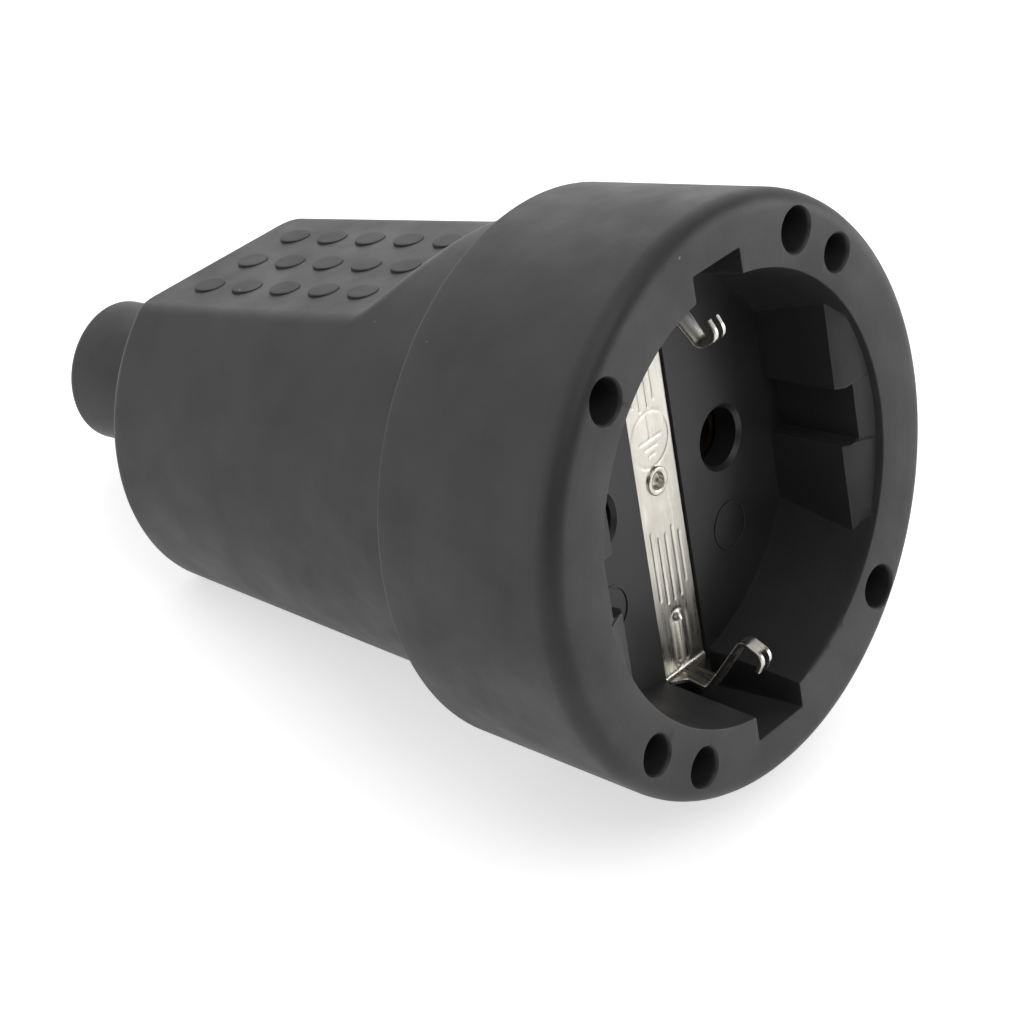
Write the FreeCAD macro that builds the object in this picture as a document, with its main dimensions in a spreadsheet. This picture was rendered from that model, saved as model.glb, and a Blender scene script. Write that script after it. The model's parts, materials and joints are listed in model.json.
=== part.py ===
import FreeCAD, Part
import math
import os
import Sketcher

# Inline socket connector: a rubber cover around a two-pole-and-earth contact insert.
# Working frame, in mm: Z is the plug axis and points out of the socket face, which is
# at Z = 0. X runs through both pins. Y points from the axis to the upper grip flat.
# At the end every piece is laid down together, as the connector rests on a table.

SIZES = {
    # rubber cover, outside
    "barrel_length": 21.3,
    "barrel_front_diameter": 55.6,
    "barrel_rear_diameter": 51.6,
    "barrel_front_round": 1.8,
    "barrel_rear_round": 0.4,
    "grip_length": 40.6,
    "grip_front_diameter": 44.8,
    "grip_rear_diameter": 36.6,
    "grip_rear_round": 0.9,
    "gland_length": 17.8,
    "gland_diameter": 14.0,
    "gland_end_round": 0.8,
    "flat_length": 28.9,
    "flat_rear_height": 14.45,
    "flat_front_height": 17.7,
    "flat_end_angle": 45,
    "flat_crest_round": 1.0,
    "dot_diameter": 3.0,
    "dot_height": 0.25,
    "dot_root": 0.6,
    "dot_pitch_along": 5.03,
    "dot_pitch_across": 6.12,
    "dot_rear_margin": 4.95,
    "dot_columns": 5,
    "dot_rows": 3,
    "rim_hole_diameter": 3.9,
    "rim_hole_depth": 8.0,
    "rim_hole_circle": 48.4,
    "rim_hole_angle": 44.5,
    "rim_vent_angle": 61.5,
    # rubber cover, inside
    "recess_depth": 10.2,
    "recess_rim_diameter": 41.4,
    "recess_floor_diameter": 38.6,
    "rib_spacing": 33.6,
    "rib_setback": 1.1,
    "rib_bevel": 1.0,
    "rib_groove_width": 5.7,
    "rib_groove_depth": 1.9,
    "clip_slot_width": 6.8,
    "clip_slot_span": 45.8,
    "cover_wall": 3.0,
    "rear_wall": 4.0,
    "gland_bore_diameter": 8.6,
    # insert
    "fit_clearance": 0.1,
    "faceplate_diameter": 40.6,
    "faceplate_thickness": 2.7,
    "pin_spacing": 19.0,
    "pin_hole_diameter": 5.6,
    "pin_hole_bevel": 0.4,
    "base_diameter": 38.0,
    "base_length": 15.0,
    "sleeve_outer_diameter": 6.4,
    "sleeve_inner_diameter": 4.9,
    "sleeve_setback": 0.5,
    "sleeve_seat": 3.0,
    "sleeve_slot_width": 0.8,
    "sleeve_slot_length": 11.0,
    "spring_thickness": 0.5,
    "spring_length": 1.6,
    "spring_offset": 3.0,
    "spring_gap": 1.2,
    "spring_chamber_length": 7.0,
    # earth strap and link
    "strap_width": 6.1,
    "strap_thickness": 0.5,
    "strap_sink": 0.25,
    "strap_end_inset": 0.8,
    "strap_bend_radius": 0.8,
    "tongue_width": 2.5,
    "tongue_knee_clearance": 2.5,
    "tongue_knee_depth": 7.2,
    "tongue_apex_spacing": 29.4,
    "tongue_apex_depth": 2.8,
    "tongue_crest_spacing": 32.0,
    "tongue_crest_depth": 0.55,
    "tongue_tip_spacing": 36.0,
    "tongue_tip_depth": 1.5,
    "fork_slot_width": 0.7,
    "bead_width": 1.8,
    "bead_height": 0.45,
    "bead_length": 5.4,
    "bead_end_margin": 0.7,
    "rivet_diameter": 1.9,
    "rivet_bore": 1.1,
    "rivet_flange_diameter": 2.9,
    "rivet_flange_thickness": 0.3,
    "link_width": 5.0,
    "link_thickness": 0.8,
    "link_overhang": 2.6,
    "link_clearance": 0.35,
    "link_bend_radius": 0.7,
    "link_height": 11.6,
    # terminals and screws
    "terminal_width": 8.0,
    "terminal_height": 8.0,
    "terminal_length": 9.0,
    "earth_terminal_width": 7.0,
    "earth_terminal_height": 6.0,
    "earth_terminal_length": 8.0,
    "wire_hole_diameter": 3.2,
    "screw_diameter": 2.9,
    "screw_head_diameter": 5.2,
    "screw_head_height": 1.6,
    "screw_slot_width": 0.8,
    "screw_slot_depth": 0.8,
    "terminal_screw_length": 5.5,
    "terminal_screw_inset": 3.6,
    "base_screw_x": 11.5,
    "base_screw_y": 10.5,
    "base_screw_grip": 1.8,
    "counterbore_depth": 2.0,
    # cord anchorage
    "shelf_thickness": 4.0,
    "shelf_length": 22.0,
    "cord_radius": 4.3,
    "clamp_screw_spacing": 14.4,
    "clamp_boss_diameter": 4.8,
    "clamp_boss_height": 2.4,
    "clamp_rear_margin": 4.0,
    "clamp_bar_length": 7.0,
    "clamp_bar_height": 5.2,
    "clamp_bar_lift": 1.0,
    # how far cutting shapes run past the surface they cut
    "overrun": 1.0,
}

# Distances along the axis, measured back from the socket face
FACE_REAR = "(size.recess_depth + size.faceplate_thickness)"
BASE_REAR = "(size.recess_depth + size.faceplate_thickness + size.base_length)"
GRIP_REAR = "(size.barrel_length + size.grip_length)"
WIRING_REAR = "(size.barrel_length + size.grip_length - size.rear_wall)"
COVER_REAR = "(size.barrel_length + size.grip_length + size.gland_length)"
FLAT_FOOT = "(size.barrel_length + size.grip_length - size.flat_length)"
SHELF_REAR = BASE_REAR[:-1] + " + size.shelf_length)"
CLAMP_PLACE = SHELF_REAR[:-1] + " - size.clamp_rear_margin)"

# The strap's ends and its tongues' knees, measured out from the axis
STRAP_END = "(size.faceplate_diameter / 2 - size.strap_end_inset)"
KNEE_PLACE = "(size.clip_slot_span / 2 - size.tongue_knee_clearance)"

# Slopes of the grip cone and of its flats
GRIP_TAPER = "((size.grip_front_diameter - size.grip_rear_diameter) / 2 / size.grip_length)"
FLAT_TAPER = "((size.flat_front_height - size.flat_rear_height) / size.flat_length)"

doc = FreeCAD.newDocument("InlineSocketConnector")
nodes = []


def fill_sheet():
    sheet = doc.addObject("Spreadsheet::Sheet", "size")
    for row, (alias, value) in enumerate(SIZES.items(), start=1):
        sheet.set(f"A{row}", alias)
        sheet.set(f"B{row}", str(value))
        sheet.setAlias(f"B{row}", alias)
    doc.recompute()
    return sheet


sheet = fill_sheet()
probe = doc.addObject("App::FeaturePython", "probe")


def number(expression):
    """Value of an expression in the sheet's words, as a plain number."""
    value = probe.evalExpression(expression)
    return float(getattr(value, "Value", value))


def bind(item, **expressions):
    """Ties properties to sheet expressions; __ in a name stands for a dot."""
    for name, expression in expressions.items():
        item.setExpression(name.replace("__", "."), expression)


def keep(item, label):
    """Makes an object one of the finished sub-parts."""
    item.Label = label
    nodes.append(item)
    return item


# Sketches

def new_body(label):
    return doc.addObject("PartDesign::Body", label + "_body")


def sketch_on(body, plane, name, offset=None):
    sketch = body.newObject("Sketcher::SketchObject", name)
    support = next(item for item in body.Origin.OriginFeatures if item.Role == plane)
    sketch.AttachmentSupport = (support, [""])
    sketch.MapMode = "FlatFace"
    if offset is not None:
        sketch.setExpression("AttachmentOffset.Base.z", offset)
    return sketch


def pin_down(sketch, geometry, vertex, along, up):
    """Dimensions one point of the sketch from the origin."""
    for kind, expression, axis in (("DistanceX", along, -2), ("DistanceY", up, -1)):
        value = number(expression)
        if abs(value) < 1e-9:
            rule = Sketcher.Constraint("PointOnObject", geometry, vertex, axis)
            sketch.addConstraint(rule)
            continue
        rule = Sketcher.Constraint(kind, -1, 1, geometry, vertex, value)
        index = sketch.addConstraint(rule)
        sketch.setExpression(f"Constraints[{index}]", expression)


def draw_polygon(sketch, corners):
    places = [FreeCAD.Vector(number(x), number(y), 0) for x, y in corners]
    first = sketch.GeometryCount
    for start, end in zip(places, places[1:] + places[:1]):
        sketch.addGeometry(Part.LineSegment(start, end), False)
    for step, (x, y) in enumerate(corners):
        after = first + (step + 1) % len(corners)
        sketch.addConstraint(Sketcher.Constraint("Coincident", first + step, 2, after, 1))
        pin_down(sketch, first + step, 1, x, y)


def draw_rectangle(sketch, left, right, low, high):
    draw_polygon(sketch, [(left, low), (right, low), (right, high), (left, high)])


def draw_circle(sketch, x, y, radius):
    centre = FreeCAD.Vector(number(x), number(y), 0)
    ring = Part.Circle(centre, FreeCAD.Vector(0, 0, 1), number(radius))
    index = sketch.addGeometry(ring, False)
    pin_down(sketch, index, 3, x, y)
    rule = sketch.addConstraint(Sketcher.Constraint("Radius", index, number(radius)))
    sketch.setExpression(f"Constraints[{rule}]", radius)


# Features

def revolve(body, sketch, name):
    feature = body.newObject("PartDesign::Revolution", name)
    feature.Profile = sketch
    feature.ReferenceAxis = (sketch, ["V_Axis"])
    feature.Angle = 360
    return feature


def extrude(body, kind, sketch, name, length, symmetric=False, backward=False):
    feature = body.newObject("PartDesign::" + kind, name)
    feature.Profile = sketch
    feature.SideType = "Symmetric" if symmetric else "One side"
    feature.Reversed = backward
    bind(feature, Length=length)
    return feature


def pad(body, sketch, name, length, **options):
    return extrude(body, "Pad", sketch, name, length, **options)


def pocket(body, sketch, name, length, **options):
    """Cuts a pocket and makes sure that it really took something away."""
    doc.recompute()
    before = body.Tip.Shape.Volume
    feature = extrude(body, "Pocket", sketch, name, length, **options)
    doc.recompute()
    if feature.Shape.Volume >= before - 1e-6:
        raise ValueError(f"{name} cuts nothing")
    return feature


def pattern(body, kind, original, name, **settings):
    feature = body.newObject("PartDesign::" + kind, name)
    feature.Originals = [original]
    for key, value in settings.items():
        setattr(feature, key, value)
    body.Tip = feature
    return feature


def circle_edges(shape, radius, height):
    """Names of the full circles of this radius that lie at this height."""
    found = []
    for index, edge in enumerate(shape.Edges, start=1):
        curve = edge.Curve
        if not isinstance(curve, Part.Circle) or abs(curve.Radius - radius) > 1e-3:
            continue
        if abs(curve.Center.z - height) < 1e-3:
            found.append(f"Edge{index}")
    return found


def soften(body, name, radius, circles, kind="Fillet"):
    """Rounds or bevels circular edges, each given by its radius and its height."""
    doc.recompute()
    base = body.Tip
    edges = []
    for ring, height in circles:
        edges += circle_edges(base.Shape, number(ring), number(height))
    feature = body.newObject("PartDesign::" + kind, name)
    feature.Base = (base, edges)
    bind(feature, **{"Radius" if kind == "Fillet" else "Size": radius})
    return feature


# Part primitives

def cylinder(name, radius, height, x="0", y="0", z="0", turn=0):
    """A cylinder from a point along Z, or turned about X towards -Y or +Y."""
    item = doc.addObject("Part::Cylinder", name)
    bind(item, Radius=radius, Height=height)
    bind(item, Placement__Base__x=x, Placement__Base__y=y, Placement__Base__z=z)
    item.Placement.Rotation = FreeCAD.Rotation(FreeCAD.Vector(1, 0, 0), turn)
    return item


def box(name, x, y, z):
    """A box between two expressions on each axis."""
    item = doc.addObject("Part::Box", name)
    for size, axis, (low, high) in (("Length", "x", x), ("Width", "y", y), ("Height", "z", z)):
        item.setExpression(f"Placement.Base.{axis}", low)
        item.setExpression(size, f"({high}) - ({low})")
    return item


def join(name, items):
    item = doc.addObject("Part::MultiFuse", name)
    item.Shapes = items
    return item


def cut(name, base, tools):
    item = doc.addObject("Part::Cut", name)
    item.Base = base
    item.Tool = tools[0] if len(tools) == 1 else join(name + "_tools", tools)
    return item


def slotted_screw(label, x, y, z, length, towards):
    """A screw with its head's underside at a point; towards gives its shank's way."""
    turn = {"-y": 90, "+z": 0}[towards]
    back = -1 if towards == "+z" else 1
    axis = "y" if towards == "-y" else "z"
    places = {"x": x, "y": y, "z": z}
    shank = cylinder(label + "_shank", "size.screw_diameter / 2", length, turn=turn, **places)
    top = dict(places)
    top[axis] = f"{places[axis]} + {back} * size.screw_head_height"
    head = cylinder(label + "_head", "size.screw_head_diameter / 2",
                    "size.screw_head_height", turn=turn, **top)
    reach = "size.screw_head_diameter"
    ends = {"x": (f"{x} - {reach}", f"{x} + {reach}"),
            "y": (f"{y} - {reach}", f"{y} + {reach}"),
            "z": (f"{z} - size.screw_slot_width / 2", f"{z} + size.screw_slot_width / 2")}
    if towards == "+z":
        ends["y"] = (f"{y} - size.screw_slot_width / 2", f"{y} + size.screw_slot_width / 2")
    outer = top[axis]
    inner = f"{outer} - {back} * size.screw_slot_depth"
    ends[axis] = (inner, outer) if back == 1 else (outer, inner)
    slot = box(label + "_slot", ends["x"], ends["y"], ends["z"])
    return keep(cut(label + "_cut", join(label + "_blank", [shank, head]), [slot]), label)


# Bent sheet metal

def bent_strip(points, bend_radius, thickness, width):
    """A strip bent along a line in the YZ plane, with round bends, centred on X."""
    path = [FreeCAD.Vector(-width / 2, y, z) for y, z in points]
    sides = {1: [], -1: []}
    last = {1: None, -1: None}
    for index, point in enumerate(path):
        ahead = path[index + 1] - point if index + 1 < len(path) else point - path[index - 1]
        behind = point - path[index - 1] if index else ahead
        ahead.normalize()
        behind.normalize()
        turn = behind.getAngle(ahead)
        for side in sides:
            first = across(behind) * side * thickness / 2
            second = across(ahead) * side * thickness / 2
            if turn < 1e-6:
                start, end, middle = point + first, point + second, None
            else:
                setback = bend_radius * math.tan(turn / 2)
                inward = (ahead - behind).normalize()
                centre = point + inward * (bend_radius / math.cos(turn / 2))
                start = point - behind * setback + first
                end = point + ahead * setback + second
                middle = centre - inward * start.distanceToPoint(centre)
            if last[side] is not None:
                sides[side].append(Part.LineSegment(last[side], start).toShape())
            if middle is not None:
                sides[side].append(Part.Arc(start, middle, end).toShape())
            last[side] = end
    ends = []
    for tip in (0, -1):
        left, right = (sides[side][tip] for side in (1, -1))
        ends.append(Part.LineSegment(edge_end(left, tip), edge_end(right, tip)).toShape())
    edges = Part.__sortEdges__(sides[1] + sides[-1] + ends)
    return Part.Face(Part.Wire(edges)).extrude(FreeCAD.Vector(width, 0, 0))


def across(direction):
    return FreeCAD.Vector(0, -direction.z, direction.y)


def edge_end(edge, tip):
    """First point of a side's first edge, or last point of its last edge."""
    return edge.valueAt(edge.FirstParameter if tip == 0 else edge.LastParameter)


def solid_node(shape, label):
    item = doc.addObject("Part::Feature", label + "_shape")
    item.Shape = shape
    return keep(item, label)


# The rubber cover

def cover_outside():
    """Barrel, grip cone and gland as one turned form, with two flats and the rim holes."""
    body = new_body("cover_outside")
    section = sketch_on(body, "XZ_Plane", "cover_section")
    draw_polygon(section, [
        ("0", "0"),
        ("size.barrel_front_diameter / 2", "0"),
        ("size.barrel_rear_diameter / 2", "-size.barrel_length"),
        ("size.grip_front_diameter / 2", "-size.barrel_length"),
        ("size.grip_rear_diameter / 2", "-" + GRIP_REAR),
        ("size.gland_diameter / 2", "-" + GRIP_REAR),
        ("size.gland_diameter / 2", "-" + COVER_REAR),
        ("0", "-" + COVER_REAR)])
    revolve(body, section, "cover_turned")
    soften(body, "front_edge", "size.barrel_front_round",
           [("size.barrel_front_diameter / 2", "0")])
    soften(body, "barrel_rear_edge", "size.barrel_rear_round",
           [("size.barrel_rear_diameter / 2", "-size.barrel_length")])
    soften(body, "grip_rear_edge", "size.grip_rear_round",
           [("size.grip_rear_diameter / 2", "-" + GRIP_REAR)])
    soften(body, "gland_end_edge", "size.gland_end_round",
           [("size.gland_diameter / 2", "-" + COVER_REAR)])
    cut_flats(body)
    drill_rim(body)
    return body


def cut_flats(body):
    sketch = sketch_on(body, "YZ_Plane", "flat_section")
    climb = "(size.barrel_front_diameter / 2 - size.flat_front_height)"
    rear = f"({GRIP_REAR} + size.overrun)"
    low = f"size.flat_rear_height - size.overrun * {FLAT_TAPER}"
    draw_polygon(sketch, [
        ("size.flat_front_height", "-" + FLAT_FOOT),
        ("size.barrel_front_diameter / 2",
         f"-{FLAT_FOOT} + {climb} / tan(size.flat_end_angle * 1 deg)"),
        ("size.barrel_front_diameter / 2", "-" + rear),
        (low, "-" + rear)])
    upper = pocket(body, sketch, "upper_flat", "size.barrel_front_diameter", symmetric=True)
    plane = next(item for item in body.Origin.OriginFeatures if item.Role == "XZ_Plane")
    pattern(body, "Mirrored", upper, "lower_flat", MirrorPlane=(plane, [""]))
    doc.recompute()
    base = body.Tip
    crests = body.newObject("PartDesign::Fillet", "flat_crests")
    crests.Base = (base, crest_edges(base.Shape))
    bind(crests, Radius="size.flat_crest_round")
    doc.recompute()


def crest_edges(shape):
    """Names of the two edges where the flats' front ramps run out into the grip's cone."""
    climb = math.tan(math.radians(number("size.flat_end_angle")))
    foot, height = number(FLAT_FOOT), number("size.flat_front_height")
    found = []
    for index, edge in enumerate(shape.Edges, start=1):
        middle = edge.valueAt((edge.FirstParameter + edge.LastParameter) / 2)
        on_ramp = abs(height + (middle.z + foot) * climb - abs(middle.y)) < 1e-3
        if on_ramp and middle.z > -foot + 1e-3:
            found.append(f"Edge{index}")
    return found


def drill_rim(body):
    """Four blind holes at even quarters, and two more beside two of them."""
    for name, angle, copies in (("rim_hole", "size.rim_hole_angle", 4),
                                ("rim_vent", "size.rim_vent_angle", 2)):
        sketch = sketch_on(body, "XY_Plane", name + "_sketch")
        radius = "size.rim_hole_circle / 2"
        draw_circle(sketch, f"{radius} * cos({angle} * 1 deg)",
                    f"{radius} * sin({angle} * 1 deg)", "size.rim_hole_diameter / 2")
        hole = pocket(body, sketch, name, "size.rim_hole_depth")
        pattern(body, "PolarPattern", hole, name + "s", Axis=(sketch, ["N_Axis"]),
                Angle=360, Occurrences=copies)
        doc.recompute()


def cover_core():
    """Everything that is open inside the cover, as the core of its mould."""
    body = new_body("cover_core")
    section = sketch_on(body, "XZ_Plane", "core_section")
    flare = "((size.recess_rim_diameter - size.recess_floor_diameter) / 2 / size.recess_depth)"
    seat = "size.faceplate_diameter / 2 + size.fit_clearance"
    chamber = "size.base_diameter / 2 + size.fit_clearance"
    wiring_front = ("size.grip_front_diameter / 2 - size.cover_wall"
                    f" - {GRIP_TAPER} * ({BASE_REAR} - size.barrel_length)")
    wiring_rear = ("size.grip_front_diameter / 2 - size.cover_wall"
                   f" - {GRIP_TAPER} * (size.grip_length - size.rear_wall)")
    draw_polygon(section, [
        ("0", "size.overrun"),
        (f"size.recess_rim_diameter / 2 + size.overrun * {flare}", "size.overrun"),
        ("size.recess_floor_diameter / 2", "-size.recess_depth"),
        (seat, "-size.recess_depth"),
        (seat, "-" + FACE_REAR),
        (chamber, "-" + FACE_REAR),
        (chamber, "-" + BASE_REAR),
        (wiring_front, "-" + BASE_REAR),
        (wiring_rear, "-" + WIRING_REAR),
        ("size.gland_bore_diameter / 2", "-" + WIRING_REAR),
        ("size.gland_bore_diameter / 2", f"-({COVER_REAR} + size.overrun)"),
        ("0", f"-({COVER_REAR} + size.overrun)")])
    revolve(body, section, "core_turned")
    flatten_core(body)
    shape_recess(body)
    return body


def flatten_core(body):
    """Keeps the wall even under the two grip flats."""
    sketch = sketch_on(body, "YZ_Plane", "core_flat_section")
    front = ("size.flat_front_height - size.cover_wall"
             f" + {FLAT_TAPER} * ({FLAT_FOOT} - {BASE_REAR})")
    rear = ("size.flat_rear_height - size.cover_wall"
            f" + {FLAT_TAPER} * size.rear_wall")
    outer = "size.barrel_front_diameter / 2"
    draw_polygon(sketch, [
        (front, "-" + BASE_REAR),
        (outer, "-" + BASE_REAR),
        (outer, "-" + WIRING_REAR),
        (rear, "-" + WIRING_REAR)])
    upper = pocket(body, sketch, "core_upper_flat", "size.barrel_front_diameter",
                   symmetric=True)
    plane = next(item for item in body.Origin.OriginFeatures if item.Role == "XZ_Plane")
    pattern(body, "Mirrored", upper, "core_lower_flat", MirrorPlane=(plane, [""]))
    doc.recompute()


def shape_recess(body):
    """The two guide ribs with their grooves, and the slots for the earth clips."""
    sketch = sketch_on(body, "XZ_Plane", "rib_section")
    inner = "size.rib_spacing / 2"
    outer = "size.barrel_front_diameter / 2"
    draw_polygon(sketch, [
        (inner, "-size.recess_depth"),
        (inner, "-(size.rib_setback + size.rib_bevel)"),
        (f"{inner} + size.rib_bevel", "-size.rib_setback"),
        (outer, "-size.rib_setback"),
        (outer, "-size.recess_depth")])
    right = pocket(body, sketch, "right_rib", "size.barrel_front_diameter", symmetric=True)
    plane = next(item for item in body.Origin.OriginFeatures if item.Role == "YZ_Plane")
    pattern(body, "Mirrored", right, "left_rib", MirrorPlane=(plane, [""]))
    doc.recompute()
    groove = sketch_on(body, "XY_Plane", "rib_groove_sketch", "-size.recess_depth")
    reach = "(size.rib_spacing / 2 + size.rib_groove_depth)"
    draw_rectangle(groove, "-" + reach, reach,
                   "-size.rib_groove_width / 2", "size.rib_groove_width / 2")
    pad(body, groove, "rib_grooves", "size.recess_depth + size.overrun")
    slots = sketch_on(body, "XY_Plane", "clip_slot_sketch", "-size.recess_depth")
    draw_rectangle(slots, "-size.clip_slot_width / 2", "size.clip_slot_width / 2",
                   "-size.clip_slot_span / 2", "size.clip_slot_span / 2")
    pad(body, slots, "clip_slots", "size.recess_depth + size.overrun")
    doc.recompute()


def grip_dots():
    """Raised round dots in rows on both flats; their tops run level with the axis."""
    dots = []
    columns, rows = int(number("size.dot_columns")), int(number("size.dot_rows"))
    for side, turn in ((1, -90), (-1, 90)):
        for column in range(columns):
            way = f"(size.dot_rear_margin + {column} * size.dot_pitch_along)"
            for row in range(rows):
                x = f"{row - (rows - 1) / 2} * size.dot_pitch_across"
                y = f"{side} * (size.flat_rear_height + {way} * {FLAT_TAPER} - size.dot_root)"
                z = f"-{GRIP_REAR} + {way}"
                dots.append(cylinder(f"dot_{len(dots)}", "size.dot_diameter / 2",
                                     "size.dot_root + size.dot_height", x, y, z, turn))
    return dots


def rubber_cover():
    outside = cover_outside()
    core = cover_core()
    cover = cut("cover_moulding", join("cover_with_dots", [outside] + grip_dots()), [core])
    keep(cover, "rubber_cover")


# The insert

def socket_faceplate():
    body = new_body("faceplate")
    disc = sketch_on(body, "XY_Plane", "faceplate_outline", "-size.recess_depth")
    draw_circle(disc, "0", "0", "size.faceplate_diameter / 2")
    pad(body, disc, "faceplate_disc", "size.faceplate_thickness", backward=True)
    holes = sketch_on(body, "XY_Plane", "pin_hole_sketch", "-size.recess_depth")
    for side in ("-", ""):
        draw_circle(holes, side + "size.pin_spacing / 2", "0", "size.pin_hole_diameter / 2")
    draw_circle(holes, "0", "0", "size.rivet_diameter / 2")
    pocket(body, holes, "pin_holes", "size.faceplate_thickness")
    soften(body, "pin_hole_edges", "size.pin_hole_bevel",
           [("size.pin_hole_diameter / 2", "-size.recess_depth")], kind="Chamfer")
    doc.recompute()
    channel = sketch_on(body, "XY_Plane", "strap_channel_sketch", "-size.recess_depth")
    half = "(size.strap_width / 2 + size.fit_clearance)"
    draw_rectangle(channel, "-" + half, half,
                   "-size.faceplate_diameter / 2", "size.faceplate_diameter / 2")
    pocket(body, channel, "strap_channel", "size.strap_thickness + size.strap_sink")
    threads = sketch_on(body, "XY_Plane", "faceplate_thread_sketch", "-" + FACE_REAR)
    draw_base_screw_circles(threads, "size.screw_diameter / 2")
    pocket(body, threads, "faceplate_threads", "size.base_screw_grip + size.fit_clearance",
           backward=True)
    keep(body, "socket_faceplate")


def draw_base_screw_circles(sketch, radius):
    for x, y in (("-size.base_screw_x", "size.base_screw_y"),
                 ("size.base_screw_x", "-size.base_screw_y")):
        draw_circle(sketch, x, y, radius)


def contact_base():
    """The plastic carrier: sleeve bores, a slot for the earth link and the cord shelf."""
    body = new_body("base")
    disc = sketch_on(body, "XY_Plane", "base_outline", "-" + FACE_REAR)
    draw_circle(disc, "0", "0", "size.base_diameter / 2")
    pad(body, disc, "base_disc", "size.base_length", backward=True)
    add_cord_shelf(body)
    bores = sketch_on(body, "XY_Plane", "sleeve_bore_sketch", "-" + FACE_REAR)
    springs = sketch_on(body, "XY_Plane", "spring_chamber_sketch", "-" + FACE_REAR)
    spring_radius = "size.sleeve_outer_diameter / 2 + size.spring_thickness + 2 * size.fit_clearance"
    for side in ("-", ""):
        centre = side + "size.pin_spacing / 2"
        draw_circle(bores, centre, "0", "size.sleeve_outer_diameter / 2 + size.fit_clearance / 2")
        draw_circle(springs, centre, "0", spring_radius)
    pocket(body, bores, "sleeve_bores", "size.base_length")
    pocket(body, springs, "spring_chambers", "size.spring_chamber_length")
    cut_link_way(body)
    cut_screw_ways(body)
    keep(body, "contact_base")


def add_cord_shelf(body):
    shelf = sketch_on(body, "XY_Plane", "shelf_sketch", "-" + BASE_REAR)
    half = "(size.clamp_screw_spacing / 2 + size.clamp_boss_diameter / 2)"
    draw_rectangle(shelf, "-" + half, half, "-(size.cord_radius + size.shelf_thickness)",
                   "-size.cord_radius")
    pad(body, shelf, "cord_shelf", "size.shelf_length", backward=True)
    top = "size.cord_radius - size.clamp_boss_height"
    bosses = sketch_on(body, "XZ_Plane", "clamp_boss_sketch", top)
    for side in ("-", ""):
        draw_circle(bosses, side + "size.clamp_screw_spacing / 2", "-" + CLAMP_PLACE,
                    "size.clamp_boss_diameter / 2")
    pad(body, bosses, "clamp_bosses", "size.clamp_boss_height")
    threads = sketch_on(body, "XZ_Plane", "clamp_thread_sketch")
    for side in ("-", ""):
        draw_circle(threads, side + "size.clamp_screw_spacing / 2", "-" + CLAMP_PLACE,
                    "size.screw_diameter / 2")
    pocket(body, threads, "clamp_threads",
           "size.cord_radius + size.shelf_thickness + size.overrun", backward=True)


def cut_link_way(body):
    """The link's bed under the faceplate and its slot through to the terminals."""
    half = "(size.link_width / 2 + size.fit_clearance)"
    low = "(size.link_height - size.link_thickness / 2 - size.link_clearance)"
    high = "(size.link_height + size.link_thickness / 2 + size.fit_clearance)"
    bed = sketch_on(body, "XY_Plane", "link_bed_sketch", "-" + FACE_REAR)
    draw_rectangle(bed, "-" + half, half, "-(size.link_overhang + size.fit_clearance)", high)
    pocket(body, bed, "link_bed", "size.link_thickness + size.link_clearance")
    slot = sketch_on(body, "XY_Plane", "link_slot_sketch", "-" + FACE_REAR)
    draw_rectangle(slot, "-" + half, half, low, high)
    pocket(body, slot, "link_slot", "size.base_length")
    relief = sketch_on(body, "XY_Plane", "rivet_relief_sketch", "-" + FACE_REAR)
    draw_circle(relief, "0", "0", "size.rivet_flange_diameter / 2 + size.fit_clearance")
    pocket(body, relief, "rivet_relief",
           "size.link_thickness + size.rivet_flange_thickness + size.link_clearance")


def cut_screw_ways(body):
    ways = sketch_on(body, "XY_Plane", "screw_way_sketch", "-" + FACE_REAR)
    draw_base_screw_circles(ways, "size.screw_diameter / 2 + size.fit_clearance")
    pocket(body, ways, "screw_ways", "size.base_length")
    seats = sketch_on(body, "XY_Plane", "screw_seat_sketch", "-" + BASE_REAR)
    draw_base_screw_circles(seats, "size.screw_head_diameter / 2 + size.fit_clearance")
    pocket(body, seats, "screw_seats", "size.counterbore_depth", backward=True)


def contact_sleeves():
    """Slotted brass tubes, each with an open spring ring near its mouth."""
    front = f"(-{FACE_REAR} - size.sleeve_setback)"
    rear = f"(-{BASE_REAR} - size.sleeve_seat)"
    for side, sign in (("left", "-"), ("right", "")):
        name = "contact_sleeve_" + side
        x = sign + "size.pin_spacing / 2"
        length = f"{front} - {rear}"
        tube = cylinder(name + "_tube", "size.sleeve_outer_diameter / 2", length, x, "0", rear)
        bore = cylinder(name + "_bore", "size.sleeve_inner_diameter / 2", length, x, "0", rear)
        reach = "size.sleeve_outer_diameter"
        slot = box(name + "_slot",
                   (f"{x} - size.sleeve_slot_width / 2", f"{x} + size.sleeve_slot_width / 2"),
                   ("-" + reach, reach), (f"{front} - size.sleeve_slot_length", front))
        keep(cut(name + "_cut", tube, [bore, slot]), name)
        sleeve_spring(side, x, front)


def sleeve_spring(side, x, sleeve_front):
    name = "sleeve_spring_" + side
    inner = "size.sleeve_outer_diameter / 2 + size.fit_clearance / 2"
    z = f"{sleeve_front} - size.spring_offset"
    ring = cylinder(name + "_ring", f"{inner} + size.spring_thickness", "size.spring_length",
                    x, "0", z)
    hole = cylinder(name + "_hole", inner, "size.spring_length", x, "0", z)
    gap = box(name + "_gap", (x, f"{x} + size.sleeve_outer_diameter"),
              ("-size.spring_gap / 2", "size.spring_gap / 2"),
              (z, f"{z} + size.spring_length"))
    keep(cut(name + "_cut", ring, [hole, gap]), name)


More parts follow.
